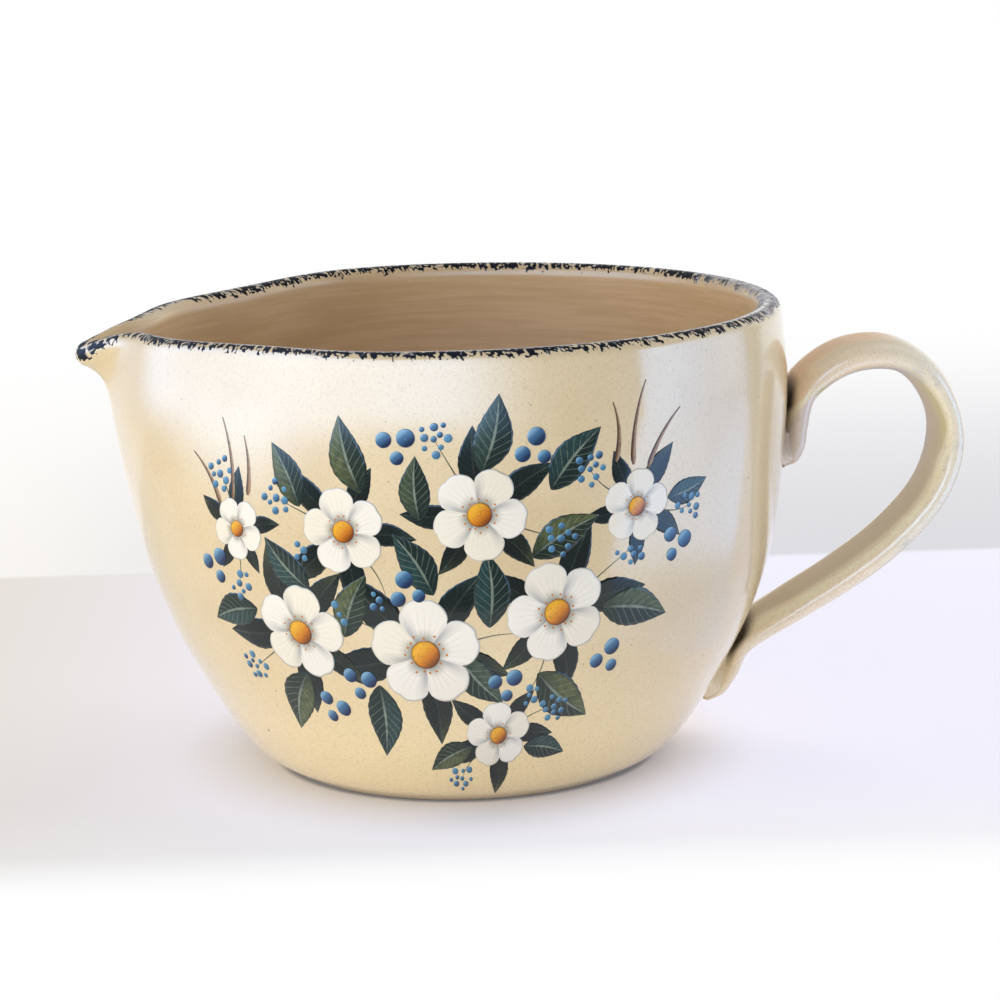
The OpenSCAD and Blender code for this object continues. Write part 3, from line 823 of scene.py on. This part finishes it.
def stroke(film, start, length, direction, bend, wide, lift, **marks):
    """A tapered brush stroke that bends on its way."""
    n = 18
    s = np.linspace(0, 1, n)
    angle = np.radians(direction + bend * (s - 0.5))
    path = np.stack([np.cos(angle), np.sin(angle)], axis=-1)
    path = np.vstack([[0, 0], np.cumsum((path[1:] + path[:-1]) / 2 * length / (n - 1), axis=0)]) + start
    normal = np.stack([-np.sin(angle), np.cos(angle)], axis=-1)
    v = np.linspace(-1, 1, 5)
    half = wide / 2 * (1 - 0.8 * s) * np.minimum(s * 8 + 0.4, 1)
    flat = path[None] + v[:, None, None] * normal[None] * half[None, :, None]
    film.patch(flat, lift * (1 - 0.6 * v[:, None] ** 2), across=v[:, None], **marks)
    return path[-1]


stem_wide = 1.7 * mm
stem_lift = 0.05 * mm
stems = [
    (0.395, 0.25, 0.17, 78), (0.43, 0.24, 0.14, 54), (-0.465, 0.18, 0.17, 104),
    (-0.5, 0.17, 0.13, 130), (0.355, 0.26, 0.12, 92), (-0.425, 0.195, 0.12, 98),
]
stem_film = Film("across")
for u, v, length, direction in stems:
    bend = 34 if direction > 90 else -34
    root = np.array([u, v]) * decal_w
    stroke(stem_film, root, length * decal_w, direction, bend, stem_wide, stem_lift)
stem_light = paint(176, 142, 104)
stem_dark = paint(74, 48, 34)
work = Finish("printed brown", stem_light)
work.lay(work.fade(work.marked("across"), -0.7, 0.8), stem_dark)
work.lay(work.fade(work.noise(0.9 * mm, detail=2), 0.45, 0.7, 0, 0.45), stem_dark)
work.fire()
stem_film.fire("print_stems", "decal_stems", "print_brown", work.material)


# Printed leaves
# The leaves are screened in dark blue-green over a paler tone, so that ribs and one half of each leaf
# stay light, as a brush would leave them.
leaf_l = 23 * mm
leaf_half = 0.23
under_leaf_half = 0.21
leaf_lift = 0.04 * mm
rib_lift = 0.02 * mm
stalk_wide = 0.5 * mm
leaves = [
    (0.09, 0.02, 0.86, 92), (-0.19, -0.015, 0.8, 66), (-0.06, 0.075, 0.8, 122), (0.25, 0.12, 0.86, 28),
    (0.075, -0.175, 0.84, -48), (-0.335, 0.065, 0.76, 134), (-0.38, -0.245, 0.92, 238),
    (-0.17, -0.275, 0.95, 262), (0.275, -0.225, 1, -38), (0.42, -0.055, 0.95, -12),
    (-0.5, -0.06, 0.8, 196), (-0.18, 0.295, 0.85, 106), (0.1, 0.335, 0.85, 76), (0.27, 0.275, 0.85, 48),
    (-0.33, 0.245, 0.76, 120), (0.25, -0.355, 0.66, -12), (-0.005, -0.365, 0.7, 208),
    (-0.045, 0.23, 0.7, 92), (0.535, 0.185, 0.6, 14),
]

# The blossoms' places are needed here already: narrow leaves lie behind them, and buds keep clear of them.
blossom_r = 15 * mm
blossoms = [(np.array([u, v]) * decal_w, size * blossom_r, turn) for u, v, size, turn in (
    (-0.045, -0.115, 1, 18), (0.235, -0.035, 0.9, 40), (-0.325, -0.08, 0.86, 5), (0.075, 0.175, 0.8, 62),
    (-0.2, 0.14, 0.74, 30), (0.405, 0.165, 0.64, 10), (0.12, -0.31, 0.68, 25), (-0.455, 0.125, 0.54, 50),
)]
leaf_film = Film("along", "across", "tint", "under", "stalk")


def leaf(middle, length, direction, half_share, curl, lift, rib=0.0, **marks):
    """One leaf, its stalk end first, with a finely toothed edge."""
    s = np.linspace(0.004, 0.996, 40)[None]
    side = np.linspace(-1, 1, 13)[:, None]
    teeth = 1 + 0.05 * np.abs(np.sin(s * 8 * math.pi)) * np.abs(side) ** 3
    half = half_share * length * np.sin(np.pi * s ** 0.8) * teeth
    bow = curl * length * np.sin(np.pi * s)
    flat = spin(length * (s - 0.5), side * half + bow, direction) + middle
    leaf_film.patch(flat, lift + rib * (1 - side ** 6), along=s, across=side, **marks)


for i, (u, v, size, direction) in enumerate(leaves):
    middle = np.array([u, v]) * decal_w
    curl = 0.05 if i % 2 else -0.05
    tint = 0.618 * i % 1
    leaf(middle, size * leaf_l, direction, leaf_half, curl, leaf_lift, rib_lift, tint=tint)

# Behind each blossom lie darker narrow leaves, and sprays of buds on fine stalks reach out between them.
sprays = []
for i, (heart, reach, turn) in enumerate(blossoms):
    for gap in range(5):
        angle = turn + 36 + 72 * gap + 9 * math.sin(4 * i + 2.3 * gap)
        long = reach * (1.3 + 0.22 * math.sin(3 * i + gap))
        lift = (0.012 + 0.0006 * (5 * i + gap)) * mm
        tint = (0.37 * i + 0.23 * gap) % 1
        middle = heart + spin(0.45 * reach + long / 2, 0.0, angle)
        leaf(middle, long, angle, under_leaf_half, 0.04, lift, tint=tint, under=1.0)
        if (gap + 2 * i) % 5 in (1, 4):
            away = angle + 26
            bend = 50 * math.sin(2.1 * i + gap)
            root = heart + spin(0.55 * reach, 0.0, away)
            shades = {"along": 0.5, "tint": 0.5, "stalk": 1.0}
            tip = stroke(leaf_film, root, 1.25 * reach, away, bend, stalk_wide, stem_lift, **shades)
            sprays.append((tip, away + bend / 2))
leaf_deep = paint(16, 36, 34)
leaf_teal = paint(40, 74, 76)
leaf_olive = paint(98, 108, 68)
leaf_pale = paint(142, 158, 146)
leaf_dark = paint(12, 24, 24)
stalk_green = paint(84, 92, 74)
work = Finish("printed blue-green", leaf_deep)
along_leaf, across_leaf, tint, under, stalk = (
    work.marked(n) for n in ("along", "across", "tint", "under", "stalk"))
tone = work.blend(work.fade(tint, 0.3, 0.7), leaf_teal, leaf_olive)
work.lay(work.fade(across_leaf, -0.15, 0.35, 0.12, 0.85), tone)
from_rib = work.math("ABSOLUTE", across_leaf)
vein_run = work.weigh(along_leaf, 9.0, from_rib, -1.9)
off_vein = work.math("ABSOLUTE", work.math("SUBTRACT", work.math("FRACT", vein_run), 0.5))
work.lay(work.fade(off_vein, 0.10, 0.0, 0, 0.5), leaf_pale)
work.lay(work.fade(from_rib, 0.11, 0.03, 0, 0.8), leaf_pale)
work.lay(work.fade(from_rib, 0.8, 1.0, 0, 0.75), leaf_deep)
brush = work.fade(work.noise(1.6 * mm, detail=3, rough=0.65), 0.42, 0.7, 0, 0.5)
work.lay(brush, leaf_deep)
base_shade = work.fade(along_leaf, 0.42, 0.0, 0, 0.7)
work.lay(base_shade, leaf_deep)
in_shade = work.times(under, work.fade(along_leaf, 1.1, 0.5, 0.45, 0.92))
work.lay(in_shade, leaf_dark)
work.lay(stalk, stalk_green)
work.fire()
leaf_film.fire("print_leaves", "decal_leaves", "print_green", work.material)


# Printed berries
# Small round berries in sprigs of three, screened in two blues, each with a light spot at the top. Smaller
# buds of the same blues end the stalks.
berry_r = 2.4 * mm
berry_lift = 0.16 * mm
bud_lift = 0.13 * mm
bud_step = 1.3 * mm
sprig_room = 6 * mm
golden_turn = 137.5
sprigs = [
    (-0.205, -0.185, 20), (0.365, -0.15, 70), (-0.075, 0.02, 100), (0.51, 0.075, 10), (-0.53, 0.04, 50),
    (-0.085, 0.315, 35), (0.185, 0.3, 80), (-0.29, -0.25, 0), (0.13, -0.19, 40),
]
berry_film = Film("right", "up", "bud")


def disc(film, middle, radius, lift, dome=0.0, rows=7, cols=20, **marks):
    """A round patch."""
    s = np.linspace(1, 0.002, rows)[:, None]
    a = 2 * np.pi * np.arange(cols)[None] / cols
    right, up = s * np.cos(a), s * np.sin(a)
    flat = np.stack([right, up], axis=-1) * radius + middle
    film.patch(flat, lift + dome * (1 - s ** 2), wrap=True, right=right, up=up, **marks)


for u, v, turn in sprigs:
    for k, size in enumerate((0.95, 0.82, 0.7)):
        middle = np.array([u, v]) * decal_w + spin(1.3 * berry_r, 0.0, turn + 120 * k)
        disc(berry_film, middle, size * berry_r, berry_lift, 0.06 * mm)
placed = [(np.array([u, v]) * decal_w, sprig_room) for u, v, turn in sprigs]
placed += [(heart, reach) for heart, reach, turn in blossoms]
for i, (tip, direction) in enumerate(sprays):
    for k in range(11):
        middle = tip + spin(bud_step * math.sqrt(k), 0.0, direction + golden_turn * k)
        bud_r = (0.86 + 0.2 * math.sin(3 * k + i)) * mm
        if all(np.hypot(*(middle - spot)) > room + bud_r for spot, room in placed):
            placed.append((middle, bud_r))
            disc(berry_film, middle, bud_r, bud_lift, 0.03 * mm, rows=4, cols=12, bud=(0.4 + 0.37 * k) % 1)
berry_light = paint(132, 178, 208)
berry_mid = paint(62, 108, 152)
berry_deep = paint(26, 44, 82)
bud_blue = paint(92, 158, 196)
work = Finish("printed blue", berry_deep)
right, up = work.marked("right"), work.marked("up")
slope = work.weigh(up, 0.75, right, -0.6)
work.lay(work.fade(slope, -0.7, 0.3), berry_mid)
work.lay(work.fade(slope, 0.15, 0.8, 0, 0.85), berry_light)
work.lay(work.times(work.marked("bud"), 0.55), bud_blue)
work.fire()
berry_film.fire("print_berries", "decal_berries", "print_blue", work.material)


# Printed blossoms
# Five round white petals each, screened in opaque white over the leaves, with grey shading towards the
# middle and along one side of each petal.
petals = 5
blossom_lift = 0.10 * mm
petal_relief = 0.05 * mm
blossom_film = Film("along", "across", "tint")
for i, (heart, reach, turn) in enumerate(blossoms):
    n = petals * 30
    a = 2 * np.pi * np.arange(n)[None] / n
    s = np.linspace(1, 0.02, 20)[:, None]
    lobe = np.abs(np.cos(a * petals / 2)) ** 0.6
    across = np.angle(np.exp(1j * a * petals)) / np.pi
    dent = 1 - 0.035 * np.exp(-(across * np.pi / 0.5) ** 2)
    radius = s * reach * (0.68 + 0.32 * lobe) * dent
    flat = spin(radius * np.cos(a), radius * np.sin(a), turn) + heart
    petal = np.round(a * petals / (2 * np.pi)) % petals
    tint = (petal * 0.37 + i * 0.29) % 1
    lift = blossom_lift + petal_relief * (1 - np.abs(across) ** 4) * (1 - s ** 6)
    blossom_film.patch(flat, lift, wrap=True, along=s, across=across, tint=tint)
petal_white = paint(244, 242, 236)
petal_warm = paint(238, 232, 212)
petal_shade = paint(150, 154, 160)
petal_heart = paint(112, 116, 104)
work = Finish("printed white", petal_white)
along_petal, across_petal, tint = (work.marked(n) for n in ("along", "across", "tint"))
work.lay(work.fade(tint, 0.2, 0.9, 0, 0.6), petal_warm)
side_shade = work.times(work.fade(across_petal, 0.35, 1.0), work.fade(along_petal, 1.0, 0.45, 0.2, 0.8))
work.lay(side_shade, petal_shade)
work.lay(work.fade(across_petal, -0.86, -1.0, 0, 0.5), petal_shade)
work.lay(work.fade(along_petal, 0.52, 0.2, 0, 0.85), petal_heart)
fold = work.math("ABSOLUTE", work.math("SINE", work.weigh(across_petal, 11.0, work.noise(5 * mm), 1.2)))
vein = work.times(work.fade(fold, 0.22, 0.0, 0, 0.4), work.fade(along_petal, 0.95, 0.5))
work.lay(vein, petal_shade)
work.lay(work.fade(along_petal, 0.955, 1.0, 0, 0.55), petal_shade)
work.fire()
blossom_film.fire("print_blossoms", "decal_blossoms", "print_white", work.material)


# Printed blossom centres
# A stippled amber button in the middle of each blossom, brown on its shaded side, with a ring of anthers.
# Amber is screened last, on top of the white.
centre_lift = 0.17 * mm
anthers = 15
centre_film = Film("right", "up", "anther")
for i, (heart, reach, turn) in enumerate(blossoms):
    big = 0.26 * reach
    disc(centre_film, heart, big, centre_lift, 0.12 * mm, rows=10, cols=32)
    for k in range(anthers):
        angle = turn + 360 * (k + 0.25 * math.sin(5.1 * k + i)) / anthers
        tip = heart + spin(big * (1.3 + 0.16 * math.sin(3.7 * k + 2 * i)), 0.0, angle)
        disc(centre_film, tip, 0.085 * big, centre_lift, 0.02 * mm, rows=3, cols=8, anther=1.0)
centre_yellow = paint(240, 182, 52)
centre_orange = paint(206, 122, 26)
centre_brown = paint(104, 48, 16)
work = Finish("printed amber", centre_orange)
right, up = work.marked("right"), work.marked("up")
slope = work.weigh(up, 0.7, right, -0.7)
work.lay(work.fade(slope, -0.5, 0.75), centre_yellow)
work.lay(work.fade(slope, -0.15, -0.95, 0, 0.9), centre_brown)
work.lay(work.specks(0.55 * mm, 0.42, 0.8, strength=0.4), centre_brown)
far = work.math("SQRT", work.weigh(right, right, up, up))
work.lay(work.fade(far, 0.8, 1.0, 0, 0.8), centre_brown)
work.lay(work.marked("anther"), centre_orange)
work.fire()
centre_film.fire("print_centres", "decal_centres", "print_amber", work.material)


# Floor
# A plain pale table top, not part of the bowl. It ends in front of the bowl, and from a line behind the
# bowl on it fades into the white background.
floor_turn = -4.1
back_edge = 0.2155
edge_blur = 8 * mm
floor = new_piece("floor", [(-4, -0.16, 0), (4, -0.16, 0), (4, 6, 0), (-4, 6, 0)], [(0, 1, 2, 3)])
floor.rotation_euler.z = math.radians(floor_turn)
white = (1, 1, 1, 1)
# Painted light and shade: the table is warmer on the left and cooler on the right, the backdrop is greyer low
# down on the right, and foot_shade is a painted shadow round the foot.
table_warm_lit = paint(240, 234, 222)
table_cool_lit = paint(249, 248, 255)
foot_shade = paint(96, 90, 82)
wall_warm_lit = paint(254, 250, 245)
wall_shaded = paint(222, 222, 226)
glow_cool_lit = (0.95, 0.94, 1.1, 1)
work = Finish("pale table", table_warm_lit, 0.6)
work.set("Specular IOR Level", 0.0)
x, y, z = work.parts(work.place)
rightward = work.fade(x, -0.22, 0.02)
from_foot = work.length(work.place)
work.lay(rightward, table_cool_lit)
work.lay(work.fade(from_foot, foot_r + 3 * mm, foot_r + 0.5 * mm, 0, 0.75), foot_shade)
work.set("Base Color", work.colour)
path = work.node("LightPath").outputs
seen = work.math("MAXIMUM", path["Is Camera Ray"], path["Is Glossy Ray"])
seen = work.math("MAXIMUM", seen, path["Is Transmission Ray"])
behind = work.fade(y, back_edge, back_edge + edge_blur)
front = work.fade(y, -0.035, -0.12)
haze = work.fade(from_foot, foot_r, foot_r + 34 * mm, 0.1, 0.66)
veil = work.math("MAXIMUM", work.math("MAXIMUM", behind, front), haze)
wall_near = work.blend(rightward, wall_warm_lit, wall_shaded)
wall_colour = work.blend(work.fade(y, 0.2, 0.75), wall_near, white)
near_glow = work.blend(front, work.blend(rightward, table_warm_lit, glow_cool_lit), white)
glow = work.blend(behind, near_glow, wall_colour)
lit = work.node("Emission", {"Color": glow, "Strength": 1.0})
work.show(work.times(seen, veil), work.shader, lit)
floor.data.materials.append(work.material)
floor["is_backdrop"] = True


# Light
# Plain soft daylight: a pale sky, brightest low down, a broad warm window to the left and cool light that
# a card on the table throws up from the right.
world = bpy.data.worlds.new("soft daylight")
bpy.context.scene.world = world
world.use_nodes = True
warm_left = (1.0, 0.955, 0.89, 1)
cool_right = (0.93, 0.97, 1.06, 1)
work = Glazing(world.node_tree)
sky = world.node_tree.nodes["Background"]
path = work.node("LightPath").outputs
x, y, z = work.parts(work.node("TexCoord").outputs["Generated"])
seen = work.math("MAXIMUM", path["Is Camera Ray"], path["Is Transmission Ray"])
shade = work.times(work.fade(z, 0.05, 0.8, 0.9, 0.31), work.fade(x, -0.9, 0.8, 1.25, 0.62))
gloss = work.times(work.fade(y, -0.35, 0.25, 0.3, 0.9), work.fade(z, 0.05, 0.6, 1.0, 0.4))
dim = work.node("Mix", {0: path["Is Glossy Ray"], 2: shade, 3: gloss}, data_type="FLOAT")
work.feed(sky.inputs["Strength"], work.math("MAXIMUM", seen, dim.outputs[0]))
daylight = work.blend(work.fade(x, -0.8, 0.8), warm_left, cool_right)
work.feed(sky.inputs["Color"], work.blend(path["Is Diffuse Ray"], white, daylight))


def window(name, place, aim, wide, high, colour, strength, gleams=False):
    """A soft rectangular light, strength being how bright its face is. gleams is whether glaze mirrors it."""
    lamp = bpy.data.lights.new(name, "AREA")
    lamp.shape = "RECTANGLE"
    lamp.size, lamp.size_y = wide, high
    lamp.color = colour
    lamp.energy = strength * 4 * wide * high
    piece = bpy.data.objects.new(name, lamp)
    bpy.context.scene.collection.objects.link(piece)
    piece.location = place
    piece.rotation_euler = (Vector(aim) - Vector(place)).to_track_quat("-Z", "Y").to_euler()
    piece.visible_camera = False
    piece.visible_glossy = gleams


window("left window", (-1.0, -0.62, 0.12), (0, 0, 0.08), 1.3, 0.75, (1.0, 0.95, 0.87), 1.5)
window("front window", (-0.1, -1.2, 0.06), (0, 0, 0.05), 0.9, 0.5, (1.0, 0.97, 0.91), 1.0)
window("right window", (0.99, -0.13, 0.32), (0, 0, 0.06), 0.8, 0.62, (0.86, 0.93, 1.1), 0.45, gleams=True)
window("back window", (0.72, 0.54, 0.80), (0, 0, 0), 0.9, 0.8, (1.0, 0.97, 0.92), 2.6)


def mirrored(name, verts, faces, colour, strength):
    """A card that only the glaze mirrors. strength gets the work and the place and gives the glow."""
    card = new_piece(name, verts, faces)
    work = Finish(name)
    glow = strength(work, *work.parts(work.place))
    lit = work.node("Emission", {"Color": colour + (1,), "Strength": glow})
    work.show(work.math("MINIMUM", glow, 1.0), work.node("BsdfTransparent"), lit)
    card.data.materials.append(work.material)
    card.visible_camera = False
    card.visible_diffuse = False
    card.visible_shadow = False
    card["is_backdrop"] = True


# What the glaze mirrors on the left: a broad bright window behind a thin curtain, bent round the bowl.
card_h = 0.7
screen_r = 0.30
screen_turns = np.arange(-225, -59, 5)
screen = [point for z in (0.002, card_h) for point in upright(screen_r, z, screen_turns)]


def curtain(work, x, y, z):
    turned = work.weigh(x, -0.788, y, -0.616)
    sideways = work.fade(turned, 0.10 * screen_r, 0.76 * screen_r)
    upward = work.times(work.fade(z, 0.02, 0.12), work.fade(z, 0.66, 0.36))
    return work.times(sideways, upward)


mirrored("left glow", screen, grid(2, len(screen_turns), wrap=False), (2.05, 3.2, 5.2), curtain)

# What the glaze mirrors on the right: that window and the light that it throws along the table.
gleam = [
    (0.075, -0.092, 0.001), (0.95, -0.60, 0.001), (1.0, 0.34, 0.001), (0.108, 0.0, 0.001),
    (0.95, -0.60, card_h), (1.0, 0.34, card_h), (0.143, -0.175, 0.001), (0.2065, 0.007, 0.001),
]


def gleam_glow(work, x, y, z):
    soft = work.times(work.fade(y, -0.45, 0.3, 1.0, 0.5), work.fade(z, 0.62, 0.4))
    return work.times(soft, work.fade(work.length(work.place), 0.17, 0.25, 0.5, 1.0))


mirrored("right glow", gleam, [(6, 1, 2, 7), (1, 4, 5, 2), (0, 6, 7, 3)], (1.55, 2.55, 4.5), gleam_glow)

# Behind that, the dim side of the room: a dull stripe down the bowl in front of the handle.
dim_turns = np.arange(16, 61, 11)
dim_side = [
    point for r, z in ((0.15, 0.0015), (1.2, 0.0015), (1.2, card_h)) for point in upright(r, z, dim_turns)
]


def dim_glow(work, x, y, z):
    slope = work.math("DIVIDE", y, x)
    stripe = work.times(work.fade(slope, 0.24, 0.34), work.fade(slope, 0.68, 0.52))
    return work.times(stripe, work.fade(z, 0.65, 0.3))


mirrored("dim side", dim_side, grid(3, len(dim_turns), wrap=False), (0.42, 0.38, 0.32), dim_glow)


# Camera
# A long lens from the front, a little above the rim, slightly turned to the spout and tilted.
camera_lens = 107.86
camera_away = 0.806
camera_up = math.radians(11.9)
camera_turn = -95
camera_roll = math.radians(-1.53)
aim = Vector((0, 0, 0.0658))
back = Vector(upright(math.cos(camera_up), math.sin(camera_up), camera_turn))
lens = bpy.data.cameras.new("camera")
lens.lens = camera_lens
lens.sensor_width = 36
lens.shift_x = 0.0401
lens.shift_y = 0.0097
lens.clip_start = 0.01
camera = bpy.data.objects.new("camera", lens)
bpy.context.scene.collection.objects.link(camera)
camera.location = aim + back * camera_away
facing = (-back).to_track_quat("-Z", "Y").to_matrix()
camera.rotation_euler = (facing @ Matrix.Rotation(camera_roll, 3, "Z")).to_euler()
bpy.context.scene.camera = camera
bpy.context.scene.view_settings.view_transform = "Standard"

size = {"cad": [list(corner) for corner in cad_box], "visual": [list(corner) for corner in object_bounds()]}
